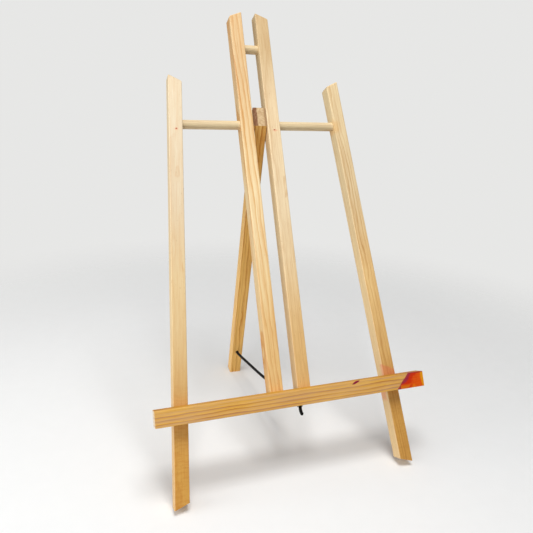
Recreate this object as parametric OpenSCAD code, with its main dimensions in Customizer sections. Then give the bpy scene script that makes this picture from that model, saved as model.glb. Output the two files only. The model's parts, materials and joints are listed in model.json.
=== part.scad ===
// Folding table easel: two splayed front legs and two upright stiles in one
// leaning plane, tied by a cross dowel and a canvas shelf, with a rear leg that
// swings on the cross dowel and a cord that stops it when the easel is open.
// Millimetres, +Z up, standing on Z = 0, canvas side towards -Y.

/* [Stance] */
// Lean of the front frame off vertical, in degrees
lean = 27; // [12:0.5:33]
// Splay of each front leg in the frame's plane, in degrees
splay = 4.2; // [1:0.1:10]
// Angle of the open rear leg off vertical, in degrees
rear_angle = 11.6; // [6:0.1:25]

/* [Bars] */
// Width of the legs and stiles
bar_w = 15; // [11:0.5:24]
// Thickness of the legs and stiles, front to back
bar_t = 15; // [12.5:0.5:24]
// Radius on the long edges of every bar
edge_r = 1; // [0.4:0.1:2]
// Mitre on the bar ends, in degrees off square
end_cut = 22.5; // [0:0.5:35]
// Flat planed on the edges of each upper end
end_ease = 1.4; // [0.2:0.1:1.5]

/* [Legs and stiles] */
// Length of a front leg along its longer edge
leg_length = 453; // [400:1:600]
// Distance between the legs' centre lines at the cross dowel
leg_spread = 196.4; // [150:0.2:300]
// Legs' middle, to the right of the shelf's middle
leg_shift = -2.8; // [-8:0.1:8]
// Length of a stile along its longer edge
stile_length = 450; // [430:1:650]
// Gap between the two stiles
stile_gap = 16.6; // [12:0.2:30]
// Stiles' middle, to the right of the shelf's middle
stile_shift = -4.4; // [-8:0.1:8]

/* [Shelf] */
// Length of the canvas shelf
shelf_length = 302; // [285:1:450]
// Height of the shelf's front face
shelf_h = 16.6; // [12:0.2:30]
// Thickness of the shelf, front to back
shelf_t = 15; // [12:0.5:30]
// Underside of the shelf above the feet, up the slope
shelf_rise = 82.5; // [60:0.5:120]

/* [Dowels] */
// Diameter of the cross dowel and the spacer dowel
dowel_d = 10; // [6:0.5:12]
// Cross dowel's axis above the feet, up the slope
dowel_rise = 397; // [330:1:430]
// Spacer dowel's axis above the feet, up the slope
spacer_rise = 489.5; // [420:0.5:505]
// Depth of the blind dowel holes
dowel_seat = 9; // [5:0.5:10]

/* [Rear leg] */
// Folded rear leg's faces inside the stiles' faces, front and back
fold_inset = 0.75; // [0.4:0.05:2]
// Clearance between the rear leg and each stile
side_gap = 0.6; // [0.3:0.1:1.5]
// Radial running clearance of the rear leg on the cross dowel
hinge_play = 0.08; // [0.02:0.01:0.1]
// Head of the open rear leg behind the front of the stiles
head_setback = 1; // [0:0.5:3]

/* [Cord] */
// Diameter of the cord
cord_d = 3.5; // [2:0.5:5]
// Diameter of the cord's hole in the rear leg
cord_hole_d = 4.8; // [4:0.2:8]
// Height of that hole's axis above the rear leg's end, along the leg
cord_hole_up = 36.5; // [20:0.5:80]
// Diameter of the knot behind the rear leg
knot_d = 9; // [7:0.5:14]
// Diameter of the staple's wire
staple_wire_d = 1.2; // [0.8:0.1:1.6]
// Staple under the right stile, in from the stile's back
staple_in = 3; // [2:0.5:6]
// Cord under the right stile, in from the stile's inner face
cord_in = 4.5; // [4.5:0.1:8]

/* [Brads] */
// Diameter of the brads' shanks
brad_d = 1.2; // [0.8:0.1:1.6]
// Diameter of the brads' heads
brad_head_d = 2; // [1.5:0.1:3]
// Length of a brad that locks the cross dowel
dowel_brad_length = 13; // [10:0.5:16]
// Dowel brad's head below the cross dowel's axis
dowel_brad_drop = 8; // [6:0.5:9]
// Upward slope of the dowel brads, in degrees
dowel_brad_slope = 35; // [25:1:40]
// Length of a brad that holds the shelf
shelf_brad_length = 25; // [18:0.5:27]
// Shelf brads above the shelf's underside
shelf_brad_up = 12; // [10:0.5:13]

/* [Hidden] */
$fn = 48;

// Colours of the woods, the steel and the cord
pine = [0.90, 0.78, 0.56];
honey = [0.78, 0.60, 0.34];
birch = [0.83, 0.74, 0.56];
steel = [0.62, 0.60, 0.57];
black = [0.06, 0.06, 0.06];

// Room that a cutting block needs round a bar
reach = 4 * max(bar_w, bar_t);
// Head of a brad is this thick, sunk flush
brad_head_t = 0.6;
// Staple's legs in the wood, and its slack above and below the cord
staple_bite = 7;
staple_slack = 0.35;
// Thickness of the knot along the cord
knot_t = 0.7 * knot_d;
// Sides of the cord's tube
cord_sides = 8;

// The cord's centreline: out of the knot and the rear leg's hole, forward to the
// right stile, under the stile's end and down in a short free tail
cord_route = [
    [-4.4, 129, 39.1], [-4.4, 122, 37.6], [-4.4, 116, 36.4], [-4.4, 110, 35.6],
    [-4, 104, 36], [-3.3, 94, 37.2], [-2.7, 84, 38.7], [-2, 74, 40.2],
    [-1.3, 64, 41.7], [-0.6, 54, 43.2], [0.1, 44, 44.7], [0.7, 34, 46.3],
    [1.4, 24, 48], [2.1, 14, 49.9], [2.8, 4, 51.9], [3.4, -6, 53.9],
    [4.1, -16, 56], [4.8, -26, 58.1], [5.4, -36, 60.2], [6.1, -46, 62.4],
    [6.8, -56, 64.6], [7.4, -66, 66.9], [8, -74, 68.9], [8.3, -80, 70.4],
    [8.4, -84, 71.7], [8.4, -87, 73.2], [7.6, -90, 74], [6.2, -93, 73.6],
    [5.6, -95.6, 72], [6, -97.3, 69.7], [6.8, -98.1, 67.8], [7.2, -98.3, 67]
];

// Slope of the feet's cut across the frame, and how much the eased outer back
// edge lifts a foot's lowest point above its sharp corner
foot_slope = tan(end_cut - splay) * cos(lean);
foot_ease = edge_r * (foot_slope + sin(lean) - sqrt(pow(foot_slope, 2) + pow(sin(lean), 2)));
frame_lift = bar_t * sin(lean) - foot_ease;

// Where the legs' centre lines meet the level of the feet
foot_sink = bar_w / 2 * sin(splay);
foot_x = leg_spread / 2 + (dowel_rise + foot_sink) * tan(splay);

// Inner face of each leg at the cross dowel, and the dowel's ends
leg_inner = leg_spread / 2 - bar_w / 2 / cos(splay);
dowel_half = leg_inner + dowel_seat;
stile_x = stile_gap / 2 + bar_w / 2;

// The pivot on the cross dowel, from the feet's front edge and the floor
pivot_back = dowel_rise * sin(lean) + bar_t / 2 * cos(lean);
pivot_z = frame_lift + dowel_rise * cos(lean) - bar_t / 2 * sin(lean);
fold = lean + rear_angle;
rear_leg_w = stile_gap - 2 * side_gap;
rear_leg_t = bar_t - 2 * fold_inset;
// Rear leg below the pivot, square cut, standing on its front bottom edge
rear_leg_drop = (pivot_z - rear_leg_t / 2 * sin(rear_angle)) / cos(rear_angle);
// Rear leg above the pivot, before its head is cut to the frame's plane
rear_leg_head = (bar_t / 2 + rear_leg_t) / sin(fold);

// The easel's depth, from the front feet to the back of the rear foot
depth = pivot_back + rear_leg_drop * sin(rear_angle) + rear_leg_t / 2 * cos(rear_angle);
front_y = -depth / 2;

// Frame coordinates: X across, Y from the stiles' front backwards, Z up the slope
module on_frame() {
    translate([0, front_y, frame_lift]) rotate([-lean, 0, 0]) children();
}

// Rear leg coordinates: origin on the pivot, Z up along the open leg
module on_rear_leg() {
    translate([stile_shift, front_y + pivot_back, pivot_z]) rotate([rear_angle, 0, 0])
        children();
}

// Bar from Z = 0 upwards with eased long edges, centred on X, Y from 0 to t
module bar(w, t, length) {
    linear_extrude(length) {
        translate([-w / 2 + edge_r, 0]) square([w - 2 * edge_r, t]);
        translate([-w / 2, edge_r]) square([w, t - 2 * edge_r]);
        for (x = [edge_r - w / 2, w / 2 - edge_r], y = [edge_r, t - edge_r])
            translate([x, y]) circle(r = edge_r);
    }
}

// Everything above a plane that falls towards +X from the long edge at -w / 2
module end_waste(w) {
    translate([-w / 2, 0, 0]) rotate([0, end_cut, 0])
        translate([-reach, -reach, 0]) cube([2 * reach, 2 * reach, reach]);
}

// Flats on the four edges of such a mitred end
module end_flats(w, t) {
    side = sqrt(2) * end_ease;
    translate([-w / 2, 0, 0]) rotate([0, end_cut, 0]) {
        for (y = [0, t])
            translate([0, y, 0]) rotate([45, 0, 0]) cube([2 * reach, side, side], center = true);
        for (x = [0, w / cos(end_cut)])
            translate([x, t / 2, 0]) rotate([0, 45 - end_cut / 2, 0])
                cube([side, 2 * reach, side], center = true);
    }
}

// Hole or dowel along X at a height up the slope, in the middle of the bars
module cross_rod(x0, x1, rise, r) {
    translate([x0, bar_t / 2, rise]) rotate([0, 90, 0]) cylinder(r = r, h = x1 - x0);
}

// Brad along +Z with its flush head at Z = 0, where the head's face lies
module brad(length) {
    cylinder(r = brad_head_d / 2, h = brad_head_t);
    cylinder(r = brad_d / 2, h = length);
}

// Brads that lock the cross dowel, driven up into it from the front
module dowel_brad_set() {
    for (x = [leg_shift - leg_spread / 2, stile_shift + stile_x])
        translate([x, 0, dowel_rise - dowel_brad_drop])
            rotate([dowel_brad_slope - 90, 0, 0]) brad(dowel_brad_length);
}

// Brads that hold the shelf, driven forward from the back of all four bars
module shelf_brad_set() {
    rise = shelf_rise + shelf_brad_up;
    leg_x = foot_x - (rise + foot_sink) * tan(splay);
    for (x = [leg_shift - leg_x, stile_shift - stile_x, stile_shift + stile_x, leg_shift + leg_x])
        translate([x, bar_t, rise]) rotate([90, 0, 0]) brad(shelf_brad_length);
}

// Wire staple across the cord, driven up into the right stile's bottom end
module staple() {
    half = cord_d / 2 + staple_slack + staple_wire_d / 2;
    hang = cord_d + 2 * staple_slack + staple_wire_d / 2;
    translate([stile_shift + stile_gap / 2 + cord_in, bar_t - staple_in, shelf_rise - hang]) {
        for (x = [-half, half])
            translate([x, 0, 0]) {
                cylinder(r = staple_wire_d / 2, h = hang + staple_bite);
                sphere(r = staple_wire_d / 2);
            }
        translate([-half, 0, 0]) rotate([0, 90, 0]) cylinder(r = staple_wire_d / 2, h = 2 * half);
    }
}

// Left front leg, its longer edge outside, centred on the frame's middle
module leg_blank() {
    translate([-foot_x, 0, -foot_sink]) rotate([0, splay, 0])
        difference() {
            bar(bar_w, bar_t, leg_length);
            translate([0, 0, leg_length]) end_waste(bar_w);
            translate([0, 0, leg_length]) end_flats(bar_w, bar_t);
            mirror([0, 0, 1]) end_waste(bar_w);
        }
}

module front_leg(side) {
    on_frame() difference() {
        translate([leg_shift, 0, 0]) mirror([side, 0, 0]) leg_blank();
        cross_rod(leg_shift - dowel_half, leg_shift + dowel_half, dowel_rise, dowel_d / 2);
        dowel_brad_set();
        shelf_brad_set();
    }
}

module left_leg() {
    color(pine) front_leg(0);
}

module right_leg() {
    color(pine) front_leg(1);
}

// Right stile, its longer edge inside; mirrored for the left one
module stile_blank() {
    translate([stile_x, 0, shelf_rise]) difference() {
        bar(bar_w, bar_t, stile_length);
        translate([0, 0, stile_length]) end_waste(bar_w);
        translate([0, 0, stile_length]) end_flats(bar_w, bar_t);
    }
}

module stile(side) {
    spacer_half = stile_gap / 2 + dowel_seat;
    on_frame() difference() {
        translate([stile_shift, 0, 0]) mirror([side, 0, 0]) stile_blank();
        cross_rod(leg_shift - dowel_half, leg_shift + dowel_half, dowel_rise, dowel_d / 2);
        cross_rod(stile_shift - spacer_half, stile_shift + spacer_half, spacer_rise, dowel_d / 2);
        dowel_brad_set();
        shelf_brad_set();
        staple();
    }
}

module left_stile() {
    color(pine) stile(1);
}

module right_stile() {
    color(pine) stile(0);
}

module shelf() {
    color(honey) on_frame() difference() {
        translate([-shelf_length / 2, 0, shelf_rise + shelf_h]) rotate([0, 90, 0])
            translate([shelf_h / 2, -shelf_t, 0]) bar(shelf_h, shelf_t, shelf_length);
        shelf_brad_set();
    }
}

module cross_dowel() {
    color(birch) on_frame() difference() {
        cross_rod(leg_shift - dowel_half, leg_shift + dowel_half, dowel_rise, dowel_d / 2);
        dowel_brad_set();
    }
}

module spacer_dowel() {
    half = stile_gap / 2 + dowel_seat;
    color(birch) on_frame()
        cross_rod(stile_shift - half, stile_shift + half, spacer_rise, dowel_d / 2);
}

module dowel_brads() {
    color(steel) on_frame() dowel_brad_set();
}

module shelf_brads() {
    color(steel) on_frame() shelf_brad_set();
}

module cord_staple() {
    color(steel) on_frame() staple();
}

// Rear leg, swinging on the cross dowel; its head is cut parallel to the frame
module rear_leg() {
    color(honey) difference() {
        on_rear_leg() translate([0, -rear_leg_t / 2, -rear_leg_drop])
            bar(rear_leg_w, rear_leg_t, rear_leg_drop + rear_leg_head);
        on_frame() translate([stile_shift - reach, -reach, dowel_rise - reach])
            cube([2 * reach, reach + head_setback, 2 * reach]);
        on_rear_leg() rotate([0, 90, 0])
            cylinder(r = dowel_d / 2 + hinge_play, h = 2 * rear_leg_w, center = true);
        on_rear_leg() translate([0, 0, cord_hole_up - rear_leg_drop]) rotate([90, 0, 0])
            cylinder(r = cord_hole_d / 2, h = 2 * rear_leg_t, center = true);
    }
}

// Direction of the cord at point i, and two directions square to it
function along(i) = let (last = len(cord_route) - 1, d = cord_route[min(i + 1, last)] - cord_route[max(i - 1, 0)])
    d / norm(d);
function across(i) = let (c = cross(along(i), [1, 0, 0])) c / norm(c);
function upright(i) = cross(across(i), along(i));

// Corner k of the cord's ring at point i
function ring_point(i, k) = let (a = 360 * k / cord_sides)
    cord_route[i] + cord_d / 2 * (cos(a) * across(i) + sin(a) * upright(i));

module cord() {
    rings = len(cord_route);
    points = [for (i = [0:rings - 1], k = [0:cord_sides - 1]) ring_point(i, k)];
    walls = [for (i = [0:rings - 2], k = [0:cord_sides - 1])
        let (a = i * cord_sides + k, b = i * cord_sides + (k + 1) % cord_sides)
            [a, b, b + cord_sides, a + cord_sides]];
    start = [for (k = [cord_sides - 1:-1:0]) k];
    end = [for (k = [0:cord_sides - 1]) (rings - 1) * cord_sides + k];
    color(black) polyhedron(points, concat(walls, [start], [end]));
}

// Overhand knot that holds the cord behind the rear leg, as a rounded button
module cord_knot() {
    color(black) on_rear_leg() translate([0, rear_leg_t / 2, cord_hole_up - rear_leg_drop])
        rotate([-90, 0, 0]) rotate_extrude() {
            square([(knot_d - knot_t) / 2, knot_t]);
            translate([(knot_d - knot_t) / 2, knot_t / 2]) intersection() {
                circle(r = knot_t / 2);
                translate([0, -knot_t]) square([knot_t, 2 * knot_t]);
            }
        }
}

left_leg();
right_leg();
left_stile();
right_stile();
shelf();
cross_dowel();
spacer_dowel();
dowel_brads();
shelf_brads();
cord_staple();
rear_leg();
cord();
cord_knot();
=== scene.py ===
"""Looks for the folding table easel: bars of ringed pine, a braided stay cord, its knot and paint marks."""
import json
import math

import bpy
from mathutils import Matrix, Vector


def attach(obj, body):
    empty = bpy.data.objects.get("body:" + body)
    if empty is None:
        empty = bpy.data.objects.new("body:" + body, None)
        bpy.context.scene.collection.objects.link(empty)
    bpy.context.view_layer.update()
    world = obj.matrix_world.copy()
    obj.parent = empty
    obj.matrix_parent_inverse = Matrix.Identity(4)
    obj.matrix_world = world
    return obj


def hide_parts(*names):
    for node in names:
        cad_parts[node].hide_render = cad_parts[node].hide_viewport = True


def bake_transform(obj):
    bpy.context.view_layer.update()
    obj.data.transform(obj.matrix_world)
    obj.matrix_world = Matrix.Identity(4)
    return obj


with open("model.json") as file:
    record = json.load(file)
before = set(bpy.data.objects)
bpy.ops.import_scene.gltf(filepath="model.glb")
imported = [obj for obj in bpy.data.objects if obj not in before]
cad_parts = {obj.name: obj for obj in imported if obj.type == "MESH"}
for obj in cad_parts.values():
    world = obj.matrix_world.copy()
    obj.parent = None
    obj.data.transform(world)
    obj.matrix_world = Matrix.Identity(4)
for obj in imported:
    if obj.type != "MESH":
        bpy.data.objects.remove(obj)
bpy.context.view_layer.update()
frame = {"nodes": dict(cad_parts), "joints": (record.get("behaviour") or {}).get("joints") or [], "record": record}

MM = 0.001
nodes = frame["nodes"]
mounts = {m["name"]: m for m in frame["record"]["mounts"]}
hinge = frame["joints"][0]

# ---------------------------------------------------------------- places taken from the frame

ACROSS = Vector((1, 0, 0))
# The canvas plane: its outward normal, and the way up its slope
canvas_normal = Vector(mounts["canvas_plane"]["axis"])
up_slope = -ACROSS.cross(canvas_normal)
canvas_point = Vector(mounts["canvas_plane"]["pos_m"])
ledge_point = Vector(mounts["canvas_ledge"]["pos_m"])
# Where the canvas plane meets the top of the shelf, in the middle of the shelf
slope_origin = ledge_point + canvas_normal * (canvas_point - ledge_point).dot(canvas_normal)
lean = math.asin(canvas_normal.z)
rear_angle = math.radians(hinge["range_deg"][1]) - lean
pivot = Vector(hinge["pos_m"])

# ---------------------------------------------------------------- sizes repeated from part.scad

BAR = 15 * MM
SPLAY = math.radians(4.2)
LEG_CENTRE = -2.8 * MM
LEG_SPREAD = 196.4 * MM
LEG_LENGTH = 453 * MM
STILE_CENTRE = -4.4 * MM
STILE_X = 15.8 * MM
STILE_LENGTH = 450 * MM
SHELF_H = 16.6 * MM
SHELF_RISE = 82.5 * MM
SHELF_LENGTH = 302 * MM
DOWEL_RISE = 397 * MM
SPACER_RISE = 489.5 * MM
REAR_LEG_T = 13.5 * MM
REAR_LEG_W = 15.4 * MM
REAR_LEG_LENGTH = 385 * MM
# The cord's hole, below the pivot and above the rear leg's end
CORD_HOLE_DROP = 326.48 * MM
CORD_HOLE_UP = 36.5 * MM
CORD_D = 3.5 * MM

# The cord's centreline, the points of cord_route in part.scad
CORD_ROUTE = [
    (-4.4, 129, 39.1), (-4.4, 122, 37.6), (-4.4, 116, 36.4), (-4.4, 110, 35.6),
    (-4, 104, 36), (-3.3, 94, 37.2), (-2.7, 84, 38.7), (-2, 74, 40.2),
    (-1.3, 64, 41.7), (-0.6, 54, 43.2), (0.1, 44, 44.7), (0.7, 34, 46.3),
    (1.4, 24, 48), (2.1, 14, 49.9), (2.8, 4, 51.9), (3.4, -6, 53.9),
    (4.1, -16, 56), (4.8, -26, 58.1), (5.4, -36, 60.2), (6.1, -46, 62.4),
    (6.8, -56, 64.6), (7.4, -66, 66.9), (8, -74, 68.9), (8.3, -80, 70.4),
    (8.4, -84, 71.7), (8.4, -87, 73.2), (7.6, -90, 74), (6.2, -93, 73.6),
    (5.6, -95.6, 72), (6, -97.3, 69.7), (6.8, -98.1, 67.8), (7.2, -98.3, 67),
]

# ---------------------------------------------------------------- frames of the bars


def axes(x, y, z, origin):
    """A matrix with these axes and origin."""
    m = Matrix((x, y, z)).transposed().to_4x4()
    m.translation = origin
    return m


def slope_place(x, rise):
    """A point of the canvas plane, x from the shelf's middle and rise up the slope from the feet."""
    return slope_origin + ACROSS * x + up_slope * (rise - SHELF_RISE - SHELF_H)


def on_slope(x, rise, turn=0.0):
    """A bar's own frame on the canvas plane: X across, Y backwards into the bar, Z along the bar.
    x and rise place its lower end."""
    along = (up_slope * math.cos(turn) + ACROSS * math.sin(turn)).normalized()
    back = -canvas_normal
    return axes(back.cross(along), back, along, slope_place(x, rise))


def along_x(x, rise, depth):
    """The frame of a bar or dowel that lies along X, with its Z from its left end."""
    return axes(up_slope, -canvas_normal, ACROSS, slope_place(x, rise) - canvas_normal * depth)


rear_along = Vector((0, -math.sin(rear_angle), math.cos(rear_angle)))
rear_back = Vector((0, math.cos(rear_angle), math.sin(rear_angle)))
rear_foot = pivot - rear_along * (CORD_HOLE_DROP + CORD_HOLE_UP) - rear_back * REAR_LEG_T / 2
rear_frame = axes(ACROSS, rear_back, rear_along, rear_foot)
foot_x = LEG_SPREAD / 2 + DOWEL_RISE * math.tan(SPLAY)

# ---------------------------------------------------------------- camera

CAMERA_PLACE = Vector((-0.2069, -0.5548, 0.4067))
CAMERA_YAW = math.radians(-19.87)
CAMERA_PITCH = math.radians(-18.94)
CAMERA_ROLL = math.radians(2.62)
SENSOR_MM = 36
LENS_MM = 36.61


def aim(camera, place, yaw, pitch, roll):
    """Places the camera. Yaw is to the left of +Y, pitch is above the horizon, roll leans it to the right."""
    forward = Vector((-math.sin(yaw) * math.cos(pitch), math.cos(yaw) * math.cos(pitch), math.sin(pitch)))
    level = Vector((math.cos(yaw), math.sin(yaw), 0))
    upright = level.cross(forward)
    right = level * math.cos(roll) + upright * math.sin(roll)
    up = upright * math.cos(roll) - level * math.sin(roll)
    camera.matrix_world = axes(right, up, -forward, place)


lens = bpy.data.cameras.new("camera")
lens.sensor_width = SENSOR_MM
lens.lens = LENS_MM
lens.clip_start = 0.01
camera = bpy.data.objects.new("camera", lens)
bpy.context.scene.collection.objects.link(camera)
aim(camera, CAMERA_PLACE, CAMERA_YAW, CAMERA_PITCH, CAMERA_ROLL)
bpy.context.scene.camera = camera

# ---------------------------------------------------------------- meshes


def smooth_path(points, step):
    """Points about step apart on the smooth curve through these."""
    ends = [points[0] * 2 - points[1], *points, points[-1] * 2 - points[-2]]
    found = []
    for p0, p1, p2, p3 in zip(ends, ends[1:], ends[2:], ends[3:]):
        count = max(1, round((p2 - p1).length / step))
        for i in range(count):
            t = i / count
            found.append(0.5 * (2 * p1 + (p2 - p0) * t + (2 * p0 - 5 * p1 + 4 * p2 - p3) * t * t
                                + (3 * p1 - p0 - 3 * p2 + p3) * t ** 3))
    return found + [points[-1]]


def length_of(points):
    """Length of the line through these points."""
    return sum((b - a).length for a, b in zip(points, points[1:]))


# Strands that go round a braid each way, and the steepness of their spiral
BRAID_CARRIERS = 4
BRAID_LAY = 2.2
# Depth of a braid's relief, as a part of the cord's radius
BRAID_RELIEF = 0.05
# How far from its ends a cord is rounded off, in diameters
CORD_ROUND_OFF = 0.35


def braid(turn, along):
    """Height of a braided cover, 0 to 1, at an angle round the cord and a distance along it in diameters."""
    a = BRAID_CARRIERS * turn + BRAID_LAY * math.pi * along
    b = BRAID_CARRIERS * turn - BRAID_LAY * math.pi * along
    over = math.cos(a) * math.cos(b) > 0
    return abs(math.cos(a / 2 if over else b / 2 + math.pi / 2)) ** 0.6


def braided_tube(name, points, diameter, sides, step):
    """A braided cord along these points, with rounded, sealed ends."""
    line = smooth_path(points, step)
    side = (line[1] - line[0]).orthogonal().normalized()
    whole = length_of(line)
    end_run = diameter * CORD_ROUND_OFF
    verts, run = [], 0.0
    for i, p in enumerate(line):
        before, after = line[max(i - 1, 0)], line[min(i + 1, len(line) - 1)]
        ahead = (after - before).normalized()
        side = (side - ahead * side.dot(ahead)).normalized()
        other = ahead.cross(side)
        if i:
            run += (p - line[i - 1]).length
        near = min(run, whole - run)
        round_off = 1.0
        if near < end_run:
            round_off = math.sqrt(max(0.05, 1 - (1 - near / end_run) ** 2))
        for k in range(sides):
            turn = 2 * math.pi * k / sides
            relief = 1 - BRAID_RELIEF + 1.6 * BRAID_RELIEF * braid(turn, run / diameter)
            radius = diameter / 2 * round_off * relief
            verts.append(p + (side * math.cos(turn) + other * math.sin(turn)) * radius)
    faces = []
    rings = len(line)
    for i in range(rings - 1):
        for k in range(sides):
            n = (k + 1) % sides
            faces.append((i * sides + k, i * sides + n, (i + 1) * sides + n, (i + 1) * sides + k))
    faces.append(tuple(range(sides - 1, -1, -1)))
    faces.append(tuple((rings - 1) * sides + k for k in range(sides)))
    mesh = bpy.data.meshes.new(name)
    mesh.from_pydata(verts, [], faces)
    mesh.shade_smooth()
    mesh.update()
    tube = bpy.data.objects.new(name, mesh)
    bpy.context.scene.collection.objects.link(tube)
    return tube, line


# ---------------------------------------------------------------- material building


class Nodes:
    """A new material's node tree, with short ways to add and join nodes."""

    def __init__(self, name):
        self.material = bpy.data.materials.new(name)
        self.material.use_nodes = True
        self.tree = self.material.node_tree
        self.shader = self.tree.nodes["Principled BSDF"]
        self.output = self.tree.nodes["Material Output"]

    def put(self, socket, value):
        """Links a node's output to the socket, or sets the socket to a plain value."""
        if hasattr(value, "is_output"):
            self.tree.links.new(value, socket)
        elif value is not None:
            socket.default_value = value

    def node(self, kind, *inputs, **settings):
        made = self.tree.nodes.new(kind)
        for key, value in settings.items():
            setattr(made, key, value)
        for i, value in enumerate(inputs):
            self.put(made.inputs[i], value)
        return made

    def math(self, operation, a, b=None, clamp=False):
        return self.node("ShaderNodeMath", a, b, operation=operation, use_clamp=clamp).outputs[0]

    def plus(self, a, b, clamp=False):
        return self.math("ADD", a, b, clamp)

    def minus(self, a, b, clamp=False):
        return self.math("SUBTRACT", a, b, clamp)

    def times(self, a, b, clamp=False):
        return self.math("MULTIPLY", a, b, clamp)

    def vector(self, operation, a, b=None):
        made = self.node("ShaderNodeVectorMath", a, b, operation=operation)
        return made.outputs["Value" if operation in ("DOT_PRODUCT", "LENGTH") else "Vector"]

    def distance(self, x, y, z=0.0):
        return self.vector("LENGTH", self.join(x, y, z))

    def range(self, value, low, high, to_low=0.0, to_high=1.0, smooth=True):
        """value from low..high to to_low..to_high, held at the ends."""
        made = self.node("ShaderNodeMapRange", value, low, high, to_low, to_high)
        made.interpolation_type = "SMOOTHSTEP" if smooth else "LINEAR"
        return made.outputs[0]

    def noise(self, vector, scale, detail=2.0, roughness=0.5, distortion=0.0, seed=0.0):
        made = self.node("ShaderNodeTexNoise", noise_dimensions="4D")
        for name, value in (("Vector", vector), ("W", seed), ("Scale", scale), ("Detail", detail),
                            ("Roughness", roughness), ("Distortion", distortion)):
            self.put(made.inputs[name], value)
        return made.outputs["Fac"]

    def sway(self, vector, scale, detail, roughness, seed):
        """Noise that goes both ways from zero."""
        return self.minus(self.noise(vector, scale, detail, roughness, 0, seed), 0.5)

    def ragged(self, scale, seed):
        """Sway that roughens the edge of a mark."""
        return self.sway(self.object_place(), scale, 3, 0.6, seed)

    def mix(self, factor, a, b, blend="MIX"):
        made = self.node("ShaderNodeMix", data_type="RGBA", blend_type=blend)
        made.clamp_factor = True
        self.put(made.inputs["Factor"], factor)
        for key, value in (("A", a), ("B", b)):
            socket = next(s for s in made.inputs if s.name == key and s.type == "RGBA")
            self.put(socket, (*value, 1) if isinstance(value, tuple) else value)
        return next(s for s in made.outputs if s.type == "RGBA")

    def tint(self, factor, colour, by):
        """The colour, multiplied by another one as far as factor says."""
        return self.mix(factor, colour, by, "MULTIPLY")

    def split(self, vector):
        return self.node("ShaderNodeSeparateXYZ", vector).outputs

    def join(self, x, y, z):
        return self.node("ShaderNodeCombineXYZ", x, y, z).outputs[0]

    def object_place(self):
        return self.node("ShaderNodeTexCoord").outputs["Object"]

    def facing(self, direction):
        """How far the surface faces this way: 1 is straight at it and -1 straight away."""
        normal = self.node("ShaderNodeTexCoord").outputs["Normal"]
        return self.vector("DOT_PRODUCT", normal, tuple(direction))

    def local_mm(self, place):
        """Where a point is in a bar's own frame, in millimetres."""
        inverse = place.inverted()
        made = self.node("ShaderNodeMapping", self.object_place(), vector_type="POINT")
        made.inputs["Location"].default_value = inverse.translation / MM
        made.inputs["Rotation"].default_value = inverse.to_euler("XYZ")
        made.inputs["Scale"].default_value = (1 / MM,) * 3
        return made.outputs[0]

    def surface(self, colour, roughness, height, distance, strength):
        """Gives the shader its colour and roughness, and the bumps of height."""
        bump = self.node("ShaderNodeBump")
        for name, value in (("Strength", strength), ("Distance", distance), ("Height", height)):
            self.put(bump.inputs[name], value)
        self.put(self.shader.inputs["Base Color"], colour)
        self.put(self.shader.inputs["Roughness"], roughness)
        self.put(self.shader.inputs["Normal"], bump.outputs[0])

    def uniform(self, name, value):
        """Sets a socket of the shader that is the same all over the surface."""
        self.shader.inputs[name].default_value = value


# What multiplies a wood's colour in a resin duct, and its cut ends' colour in a ring and in a pore
DUCT = (0.5, 0.36, 0.22)
SAWN_RING = (0.66, 0.50, 0.36)
SAWN_PORE = (0.75, 0.64, 0.52)
# Colours of a bar's paler left face, painted light, between its fibres and in them, and of the painted highlight
# along an edge
LEFT_FACE_LIT_PALE = (0.93, 0.78, 0.50)
LEFT_FACE_LIT_DEEP = (0.86, 0.66, 0.36)
EDGE_HIGHLIGHT = (0.95, 0.84, 0.66)
# Width of an edge's painted highlight, and of its smoother rubbing, in millimetres
EDGE_HIGHLIGHT_AND_RUB = 1.3


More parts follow.
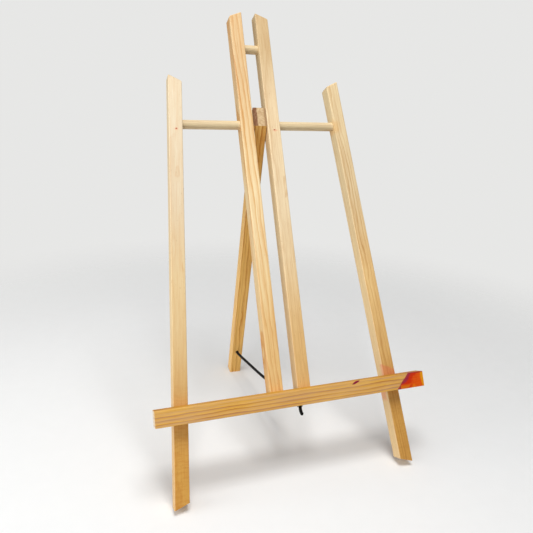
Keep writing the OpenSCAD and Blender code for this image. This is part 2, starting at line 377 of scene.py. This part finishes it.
def wood(name, place, seed, low, middle, high, late, length, pith, spacing, width=BAR / MM, depth=BAR / MM,
         contrast=0.5, runout=0.004, end=(0.76, 0.56, 0.32), fade=(0.62, 0.97), wavy=5.0, left_face_light=0.0,
         figure=0.0, marks_and_shade=None):
    """Planed wood on a bar whose own frame is place, this long, wide and deep in millimetres.

    low, middle and high are the colours from the bar's lower end up, and high comes in over the
    part of the length in fade; they are painted light, following how brightly each part of the bar
    is lit, paler under a painted highlight. late multiplies them in the dark part of a growth ring.
    pith is the rings' centre across and behind the bar, spacing their width, contrast their
    strength, runout their drift along the bar and wavy how far they wander. end is the cut ends'
    colour. left_face_light is how much paler the left face is, which is painted light, and figure
    how strong the ripples across the lower end are. marks_and_shade is a function that adds marks
    and painted shade to the colour and roughness.
    """
    n = Nodes(name)
    p = n.local_mm(place)
    x, y, z = n.split(p)

    def grain(squeeze):
        """The point with its distance along the bar squeezed, which draws noise out along the grain."""
        return n.join(x, y, n.times(z, squeeze))

    patch = n.noise(grain(0.3), 0.03, 2, 0.5, 0.2, seed + 13)

    # Growth rings round the pith, wandering slowly along the bar
    slow = grain(0.12)
    wander = n.sway(slow, 0.045, 2, 0.5, seed)
    waver = n.sway(slow, 0.35, 2, 0.55, seed + 3)
    wave = n.sway(grain(0.3), 0.11, 2, 0.5, seed + 4)
    radius = n.distance(n.minus(x, pith[0]), n.minus(y, pith[1]))
    for drift in (n.times(z, runout), n.times(wander, 9.0), waver, n.times(wave, wavy)):
        radius = n.plus(radius, drift)
    count = n.math("DIVIDE", radius, spacing)
    phase = n.math("FRACT", count)
    varied = n.node("ShaderNodeTexWhiteNoise", noise_dimensions="1D")
    n.put(varied.inputs["W"], n.plus(n.math("FLOOR", count), seed))
    strength = n.range(varied.outputs["Value"], 0.0, 1.0, 0.15, 1.0, smooth=False)
    rise = n.math("POWER", phase, 2.6)
    line = n.times(n.range(phase, 0.66, 0.84), 0.55)
    fall = n.range(phase, 0.9, 1.0, 1.0, 0.0)
    ring = n.times(n.times(n.math("MAXIMUM", rise, line), fall), strength)
    dark = n.times(ring, n.range(patch, 0.3, 0.7, 1.2 * contrast, 2.4 * contrast), clamp=True)

    # Fibres, streaks, broad patches and resin ducts
    fine = n.noise(grain(0.02), 3.2, 3, 0.6, 0, seed + 5)
    coarse = n.noise(grain(0.02), 0.9, 3, 0.6, 0, seed + 7)
    duct = n.range(n.noise(grain(0.16), 1.7, 1, 0.5, 0, seed + 11), 0.70, 0.76)
    # Painted light: the colour changes from low to high along the bar with how brightly each part is lit, paler
    # under a painted highlight
    base = n.mix(n.range(z, length * 0.08, length * 0.5), low, middle)
    base = n.mix(n.range(z, length * fade[0], length * fade[1]), base, high)
    colour = n.tint(dark, base, late)
    colour = n.tint(n.times(n.range(coarse, 0.42, 0.66), 0.5 * contrast + 0.05), colour, late)
    colour = n.tint(n.range(fine, 0.35, 0.7, 0.0, 0.30), colour, late)
    colour = n.tint(n.range(patch, 0.4, 0.7, 0.0, 0.22), colour, late)
    colour = n.tint(n.times(duct, 0.5), colour, DUCT)

    # Ripples across the lower end, and a paler left face that is painted light
    ripple = n.noise(n.join(n.times(x, 0.25), n.times(y, 0.25), z), 0.45, 3, 0.6, 0, seed + 15)
    near_end = n.range(z, length * 0.34, length * 0.14, 0.0, figure)
    colour = n.tint(n.times(n.range(ripple, 0.42, 0.62), near_end), colour, late)
    left = n.range(n.facing(-place.col[0].to_3d()), 0.6, 0.85, 0.0, left_face_light)
    colour = n.mix(left, colour, n.mix(n.range(fine, 0.3, 0.7), LEFT_FACE_LIT_PALE, LEFT_FACE_LIT_DEEP))

    # Cut ends, by the surface's own direction against the bar's
    cut = n.range(n.math("ABSOLUTE", n.facing(place.col[2].to_3d())), 0.45, 0.8)
    pores = n.noise(p, 5.0, 2, 0.6, 0, seed + 17)
    sawn = n.mix(0.7, colour, end)
    sawn = n.tint(n.times(ring, 0.6), sawn, SAWN_RING)
    sawn = n.tint(n.range(pores, 0.45, 0.7, 0.0, 0.3), sawn, SAWN_PORE)
    colour = n.mix(cut, colour, sawn)

    # Long edges, paler in stretches as a painted highlight, and smoother there from rubbing
    off_x = n.range(n.math("ABSOLUTE", x), width / 2 - EDGE_HIGHLIGHT_AND_RUB, width / 2)
    off_y = n.range(n.math("ABSOLUTE", n.minus(y, depth / 2)), depth / 2 - EDGE_HIGHLIGHT_AND_RUB, depth / 2)
    edge_highlight_and_rub = n.times(n.times(off_x, off_y), n.range(coarse, 0.35, 0.6, 0.25, 1.0))
    colour = n.mix(n.times(edge_highlight_and_rub, 0.35), colour, n.mix(0.5, colour, EDGE_HIGHLIGHT))

    rough = n.plus(n.range(fine, 0.3, 0.7, 0.50, 0.64), n.times(cut, 0.16))
    rough = n.minus(rough, n.times(edge_highlight_and_rub, 0.10), clamp=True)
    height = n.plus(n.times(fine, 0.6), n.times(ring, 0.5))
    height = n.plus(height, n.times(n.times(pores, cut), 1.2))
    height = n.minus(height, n.times(duct, 0.8))
    if marks_and_shade:
        colour, rough = marks_and_shade(n, colour, rough, seed)
    n.surface(colour, rough, height, 0.06 * MM, 0.7)
    n.uniform("Specular IOR Level", 0.2)
    n.uniform("Sheen Weight", 0.02)
    return n.material


def wear(node, material):
    """Gives a CAD node this material in every slot."""
    held = nodes[node]
    if not held.material_slots:
        held.data.materials.append(material)
    for slot in held.material_slots:
        slot.material = material


# ---------------------------------------------------------------- paint marks

# Places across from the shelf's middle, and up the slope from the shelf's top, in millimetres
PAINT_ACROSS = 131.5
DASH_AT = (66.0, -1.6)
LEFT_BRAD_AT = (-101.0, 290.1)
RIGHT_BRAD_AT = (12.0, 289.8)
GLUE_AT = (88.5, 295.0)
# Half widths and heights of the marks there, in millimetres
LEFT_RUST_SIZE = (1.9, 1.7)
RIGHT_RUST_SIZE = (3.2, 1.5)
GLUE_SIZE = (6.5, 8.5)
# The front face of the shelf, forward of the canvas plane in millimetres
SHELF_FRONT = 15.0

CRIMSON = (0.34, 0.02, 0.045)
RED = (0.60, 0.022, 0.0005)
RED_ORANGE = (0.72, 0.085, 0.001)
YELLOW_ORANGE = (0.74, 0.30, 0.003)
DRIED_RED = (0.30, 0.02, 0.015)
DASH_CRIMSON = (0.24, 0.004, 0.04)
RUST = (0.84, 0.38, 0.22)
SALMON = (0.80, 0.30, 0.20)
SALMON_TINT = (0.95, 0.42, 0.40)
GLUE_TINT = (0.98, 0.74, 0.44)


def slope_mm(n):
    """A point in millimetres: across from the shelf's middle, up the slope from the shelf's top, and
    forward of the canvas plane."""
    return n.split(n.local_mm(axes(ACROSS, up_slope, canvas_normal, slope_origin)))


def shelf_paint(n, colour, rough, seed):
    """Orange paint over the shelf's right end, edged in crimson, and one crimson dash on its top edge."""
    across, rise, proud = slope_mm(n)
    ragged = n.ragged(260, seed + 21)

    # How far a point is past the slanting line where the paint starts
    past = n.plus(n.times(n.minus(across, PAINT_ACROSS), 0.72), n.times(rise, -0.69))
    past = n.plus(past, n.times(ragged, 2.2))
    depth = n.plus(proud, n.times(ragged, 8.0))
    held = n.times(n.range(past, -0.3, 0.5), n.range(depth, 8.0, 10.0))
    swirl = n.noise(n.object_place(), 95, 2, 0.45, 0.8, seed + 23)
    drift = n.plus(past, n.times(n.minus(swirl, 0.5), 16.0))
    paint = n.mix(n.range(drift, 1.0, 3.6), CRIMSON, RED)
    paint = n.mix(n.range(drift, 8.0, 13.0), paint, RED_ORANGE)
    low = n.times(n.range(rise, -10.5, -14.5), n.range(swirl, 0.40, 0.56))
    far = n.range(n.plus(across, n.times(swirl, 7.0)), 150.0, 152.5)
    yellow = n.math("MAXIMUM", n.times(low, 0.45), n.times(far, 0.95))
    paint = n.mix(yellow, paint, YELLOW_ORANGE)
    top = n.range(n.plus(rise, n.times(ragged, 2.0)), -1.6, -0.2)
    paint = n.mix(n.times(top, 0.75), paint, DRIED_RED)
    colour = n.mix(n.times(held, 0.98), colour, paint)

    # The dash: an oval that slants up to the right, on the front face near its top edge
    right = n.minus(across, DASH_AT[0])
    above = n.minus(n.minus(rise, DASH_AT[1]), n.times(right, 0.30))
    ahead = n.minus(proud, SHELF_FRONT)
    off = n.distance(n.times(right, 0.26), n.times(above, 1.05), n.times(ahead, 0.4))
    dash = n.range(n.plus(off, ragged), 1.35, 1.0)
    colour = n.mix(dash, colour, DASH_CRIMSON)
    wet = n.math("MAXIMUM", held, dash)
    return colour, n.minus(rough, n.times(wet, 0.2))


def spot(n, across, rise, at, size, ragged):
    """How near a point is to an oval mark on the canvas plane, 1 in its middle and 0 outside it."""
    u = n.math("DIVIDE", n.minus(across, at[0]), size[0])
    v = n.math("DIVIDE", n.minus(rise, at[1]), size[1])
    return n.range(n.plus(n.distance(u, v), n.times(ragged, 1.2)), 1.25, 0.45)


def rust_round(at, size):
    """A rust stain on a bar's front face round the brad there."""
    def stain(n, colour, rough, seed):
        across, rise, proud = slope_mm(n)
        mark = spot(n, across, rise, at, size, n.ragged(520, seed + 51))
        front = n.range(proud, -2.0, -1.0)
        return n.mix(n.times(n.times(mark, front), 0.6), colour, RUST), rough
    return stain


def leg_paint(n, colour, rough, seed):
    """A thin salmon stain above the shelf, a pink smear below it and glue round the dowel."""
    across, rise, proud = slope_mm(n)
    ragged = n.ragged(170, seed + 31)

    # The stain above the shelf, whose top slants down to the right
    upper = n.plus(n.plus(n.times(n.minus(across, 108.0), 0.42), rise), n.times(ragged, 4.0))
    above = n.times(n.range(upper, 13.5, 11.5), n.range(rise, -1.0, 0.0))
    above = n.times(above, n.range(proud, -7.0, -1.0))

    # The smear below it, on the leg's side
    lower = n.plus(rise, n.times(ragged, 6.0))
    below = n.times(n.range(rise, -17.0, -18.5), n.range(lower, -32.0, -26.0))
    below = n.times(below, n.range(n.plus(proud, n.times(ragged, 8.0)), -2.0, -4.0))

    glue = spot(n, across, rise, GLUE_AT, GLUE_SIZE, ragged)
    colour = n.tint(n.times(glue, 0.5), colour, GLUE_TINT)
    stained = n.mix(0.35, n.tint(1.0, colour, SALMON_TINT), SALMON)
    thin = n.plus(n.times(above, 0.55), n.times(below, 0.5), clamp=True)
    return n.mix(thin, colour, stained), rough


def head_marks_and_shade(n, colour, rough, seed):
    """Greyed end grain on the rear leg's sloping head, painted shade in a dark strip down each of its sides beside
    the stiles, and darker sides and edges on the leg's upper half."""
    x, _, z = n.split(n.local_mm(rear_frame))
    side = n.plus(x, n.times(n.ragged(300, seed + 41), 1.6))
    slope = n.times(n.range(n.facing(rear_along), 0.40, 0.55), n.range(z, 330, 340))
    mottle = n.noise(n.object_place(), 420, 3, 0.65, 0, seed + 43)
    worn = n.mix(n.range(mottle, 0.35, 0.65), (0.70, 0.53, 0.32), (0.50, 0.33, 0.18))
    colour = n.mix(n.times(slope, 0.85), colour, worn)
    # Painted shade: a dark strip down the head's left side and a fainter one down its right, where the stiles
    # beside it shade the gaps
    left = n.times(n.range(side, -2.2, -3.4), slope)
    left = n.times(left, n.range(mottle, 0.3, 0.6, 0.75, 1.0))
    colour = n.mix(left, colour, (0.22, 0.09, 0.04))
    right = n.times(n.range(side, 5.4, 6.4), slope)
    colour = n.mix(n.times(right, 0.6), colour, (0.36, 0.21, 0.10))
    edges = n.times(n.range(n.math("ABSOLUTE", side), 4.0, 6.8), n.range(z, 150, 330))
    return n.tint(n.times(edges, 0.35), colour, (0.55, 0.42, 0.30)), rough


# ---------------------------------------------------------------- the woods

# What multiplies a wood's colour in the dark part of its rings
LATE = (0.66, 0.44, 0.22)
ORANGE = (0.82, 0.58, 0.34)
GOLDEN = (0.60, 0.36, 0.09)
BIRCH_LATE = (0.66, 0.52, 0.38)

BIRCH = (0.80, 0.65, 0.39)
# Wider than any dowel, so that none of it counts as an edge with a painted highlight
NO_EDGE = 100.0

# Each bar's low, middle and high colours below are painted light along it, and its paler left face is painted
# light too
wear("left_leg", wood(
    "pine_left_leg", on_slope(LEG_CENTRE - foot_x, 0, SPLAY), 1.0,
    (0.65, 0.36, 0.08), (0.83, 0.65, 0.37), (0.83, 0.72, 0.53), ORANGE, LEG_LENGTH / MM,
    pith=(6.0, 34.0), spacing=3.1, contrast=0.45, fade=(0.46, 0.72), left_face_light=0.35, figure=0.35,
    marks_and_shade=rust_round(LEFT_BRAD_AT, LEFT_RUST_SIZE)))
wear("right_leg", wood(
    "pine_right_leg", on_slope(LEG_CENTRE + foot_x, 0, -SPLAY), 2.0,
    (0.66, 0.37, 0.09), (0.88, 0.62, 0.28), (0.83, 0.68, 0.42), LATE, LEG_LENGTH / MM,
    pith=(-20.0, 18.0), spacing=3.0, contrast=0.6, fade=(0.45, 0.72), left_face_light=0.6, figure=0.15,
    marks_and_shade=leg_paint))
wear("left_stile", wood(
    "pine_left_stile", on_slope(STILE_CENTRE - STILE_X, SHELF_RISE), 3.0,
    (0.86, 0.62, 0.29), (0.95, 0.80, 0.50), (0.76, 0.56, 0.31), ORANGE, STILE_LENGTH / MM,
    pith=(-26.0, 10.0), spacing=5.5, contrast=0.9, runout=0.03, fade=(0.55, 0.90)))
wear("right_stile", wood(
    "pine_right_stile", on_slope(STILE_CENTRE + STILE_X, SHELF_RISE), 4.0,
    (0.80, 0.53, 0.22), (0.91, 0.76, 0.51), (0.66, 0.49, 0.27), LATE, STILE_LENGTH / MM,
    pith=(12.0, 30.0), spacing=4.4, contrast=0.4, fade=(0.72, 0.92), left_face_light=0.5,
    marks_and_shade=rust_round(RIGHT_BRAD_AT, RIGHT_RUST_SIZE)))
wear("shelf", wood(
    "pine_shelf", along_x(-SHELF_LENGTH / 2, SHELF_RISE + SHELF_H / 2, -BAR), 5.0,
    (0.78, 0.43, 0.045), (0.78, 0.43, 0.045), (0.77, 0.42, 0.042), GOLDEN, SHELF_LENGTH / MM,
    width=SHELF_H / MM, pith=(34.0, 16.0), spacing=3.9, contrast=1.0, runout=-0.006, wavy=2.0,
    end=(0.85, 0.78, 0.64), marks_and_shade=shelf_paint))
wear("rear_leg", wood(
    "pine_rear_leg", rear_frame, 6.0,
    (0.95, 0.60, 0.18), (0.95, 0.61, 0.18), (0.94, 0.60, 0.18), LATE, REAR_LEG_LENGTH / MM,
    width=REAR_LEG_W / MM, depth=REAR_LEG_T / MM, pith=(22.0, -16.0), spacing=3.4, contrast=0.8,
    end=(0.66, 0.48, 0.28), left_face_light=0.2, marks_and_shade=head_marks_and_shade))
for dowel, left_end, rise, seed in (("cross_dowel", LEG_CENTRE - LEG_SPREAD / 2, DOWEL_RISE, 7.0),
                                    ("spacer_dowel", STILE_CENTRE - STILE_X, SPACER_RISE, 8.0)):
    wear(dowel, wood(
        f"birch_{dowel}", along_x(left_end, rise, BAR / 2), seed,
        BIRCH, BIRCH, BIRCH, BIRCH_LATE, LEG_SPREAD / MM,
        width=NO_EDGE, depth=NO_EDGE, pith=(3.0, 9.0), spacing=1.7, runout=0.01))

# ---------------------------------------------------------------- steel and cord


def steel(name, clean, stained, amount, seed):
    """Drawn wire, dulled and stained in patches."""
    n = Nodes(name)
    p = n.object_place()
    blotch = n.noise(p, 900, 3, 0.6, 0, seed)
    fine = n.noise(p, 4000, 2, 0.6, 0, seed + 2)
    mask = n.range(blotch, 0.62 - amount, 0.80 - amount)
    colour = n.mix(mask, clean, stained)
    colour = n.mix(n.range(fine, 0.3, 0.7, 0.0, 0.3), colour, (0.12, 0.09, 0.07))
    n.surface(colour, n.range(mask, 0, 1, 0.34, 0.75, smooth=False), n.plus(fine, blotch), 0.03 * MM, 0.6)
    n.put(n.shader.inputs["Metallic"], n.range(mask, 0, 1, 0.9, 0.1, smooth=False))
    return n.material


def black_cord(name, seed):
    """Black polyester braid: near black strands with a dull sheen and a little dust between them."""
    n = Nodes(name)
    p = n.object_place()
    yarn = n.noise(p, 5200, 3, 0.65, 0, seed)
    dust = n.noise(p, 420, 3, 0.6, 0, seed + 2)
    colour = n.mix(n.range(yarn, 0.35, 0.7), (0.004, 0.004, 0.005), (0.012, 0.011, 0.011))
    colour = n.mix(n.range(dust, 0.5, 0.8, 0.0, 0.3), colour, (0.025, 0.024, 0.022))
    n.surface(colour, n.range(yarn, 0.3, 0.7, 0.48, 0.72), yarn, 0.05 * MM, 0.5)
    n.uniform("Specular IOR Level", 0.15)
    n.uniform("Sheen Weight", 0.03)
    n.uniform("Sheen Roughness", 0.4)
    return n.material


rusty = steel("brad_rusty", (0.55, 0.20, 0.12), (0.58, 0.12, 0.06), 0.3, 1.0)
bright = steel("brad_bright", (0.56, 0.55, 0.53), (0.30, 0.17, 0.09), 0.0, 2.0)
wear("dowel_brads", rusty)
wear("shelf_brads", bright)
wear("cord_staple", bright)

cord_black = black_cord("cord_black", 3.0)
route = [Vector(p) * MM for p in CORD_ROUTE]
cord, cord_line = braided_tube("stay_cord", route, CORD_D, sides=28, step=0.35 * MM)
cord.data.materials.append(cord_black)

# Overhand knot behind the rear leg, pulled tight against the leg, with its cut end hanging below it
KNOT_D = 3.2 * MM
KNOT_TURN = 0.95 * MM
KNOT_LIFT = 1.35 * MM
KNOT_POINTS = 48
# Points of the cut end: across, up the leg and out from it, in millimetres
KNOT_END = [(-0.3, -1.8, 3.9), (0.8, -3.4, 3.4), (1.4, -5.2, 2.7), (1.5, -7.0, 2.2), (1.3, -8.6, 2.0)]
hole_back = pivot - rear_along * CORD_HOLE_DROP + rear_back * REAR_LEG_T / 2


def on_leg_back(across, up, out):
    """A point measured from the cord's hole in the back of the rear leg."""
    return hole_back + ACROSS * across + rear_along * up + rear_back * out


def knot_point(t):
    """A point of the knot's centreline, a trefoil lying on the back of the leg."""
    across = KNOT_TURN * (math.sin(t) + 2 * math.sin(2 * t))
    up = KNOT_TURN * (math.cos(t) - 2 * math.cos(2 * t))
    out = KNOT_D / 2 + KNOT_LIFT * (1 - math.sin(3 * t))
    return on_leg_back(across, up, out)


# The last two points of the trefoil are left out, where the cut end leaves it
knot_line = [knot_point(2 * math.pi * i / KNOT_POINTS) for i in range(KNOT_POINTS - 2)]
knot_line += [on_leg_back(a * MM, u * MM, o * MM) for a, u, o in KNOT_END]
knot, _ = braided_tube("knot", knot_line, KNOT_D, sides=24, step=0.4 * MM)
knot.data.materials.append(cord_black)

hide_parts("cord")
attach(knot, "rear_leg")
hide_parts("cord_knot")
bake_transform(cord)

# ---------------------------------------------------------------- floor, light and backdrop

FLOOR_HALF = 1.0
# Distances from the floor's middle between which it fades into the backdrop
FADE_START = 0.30
FADE_END = 0.85


def floor_material():
    """Pale matt board that fades into the backdrop away from the easel."""
    n = Nodes("floor_board")
    p = n.object_place()
    grain = n.noise(p, 60, 4, 0.6, 0, 1)
    n.put(n.shader.inputs["Base Color"], n.mix(grain, (0.87, 0.875, 0.88), (0.90, 0.905, 0.91)))
    n.put(n.shader.inputs["Roughness"], n.range(grain, 0.3, 0.7, 0.75, 0.9))
    clear = n.node("ShaderNodeBsdfTransparent")
    away = n.range(n.vector("LENGTH", p), FADE_START, FADE_END)
    fade = n.node("ShaderNodeMixShader", away, n.shader.outputs[0], clear.outputs[0])
    n.put(n.output.inputs["Surface"], fade.outputs[0])
    return n.material


floor_mesh = bpy.data.meshes.new("floor")
corners = [(FLOOR_HALF * x, FLOOR_HALF * y, 0) for x, y in ((-1, -1), (1, -1), (1, 1), (-1, 1))]
floor_mesh.from_pydata(corners, [], [(0, 1, 2, 3)])
floor_mesh.materials.append(floor_material())
floor = bpy.data.objects.new("floor", floor_mesh)
bpy.context.scene.collection.objects.link(floor)

# What the lights are aimed at, the middle of the easel, and their colour
LIT_MIDDLE = Vector((0, 0, 0.2))
LIGHT_COLOUR = (1.0, 1.0, 0.99)


def soft_light(name, place, size, power):
    """A square soft box aimed at the middle of the easel, its size in metres and its power in watts."""
    light = bpy.data.lights.new(name, "AREA")
    light.shape = "SQUARE"
    light.size = size
    light.energy = power
    light.color = LIGHT_COLOUR
    lamp = bpy.data.objects.new(name, light)
    lamp.location = place
    lamp.rotation_mode = "QUATERNION"
    lamp.rotation_quaternion = (Vector(place) - LIT_MIDDLE).to_track_quat("Z", "Y")
    bpy.context.scene.collection.objects.link(lamp)


soft_light("key", (-0.05, -0.34, 1.55), 0.65, 15.5)
soft_light("corner_fill", (-1.10, -1.05, 0.60), 0.8, 5.5)
soft_light("left_fill", (-1.45, -0.10, 0.6), 1.1, 10)


def backdrop():
    """A world of one tone to look at, that lights the easel faintly from all round."""
    world = bpy.data.worlds.new("studio")
    world.use_nodes = True
    sky = world.node_tree
    sky.nodes.clear()
    seen = sky.nodes.new("ShaderNodeBackground")
    seen.inputs["Color"].default_value = (0.80, 0.80, 0.79, 1)
    around = sky.nodes.new("ShaderNodeBackground")
    around.inputs["Color"].default_value = (1.0, 1.0, 1.0, 1)
    around.inputs["Strength"].default_value = 0.24
    path = sky.nodes.new("ShaderNodeLightPath")
    choose = sky.nodes.new("ShaderNodeMixShader")
    out = sky.nodes.new("ShaderNodeOutputWorld")
    sky.links.new(path.outputs["Is Camera Ray"], choose.inputs[0])
    sky.links.new(around.outputs[0], choose.inputs[1])
    sky.links.new(seen.outputs[0], choose.inputs[2])
    sky.links.new(choose.outputs[0], out.inputs[0])
    return world


bpy.context.scene.world = backdrop()
bpy.context.scene.view_settings.view_transform = "Standard"
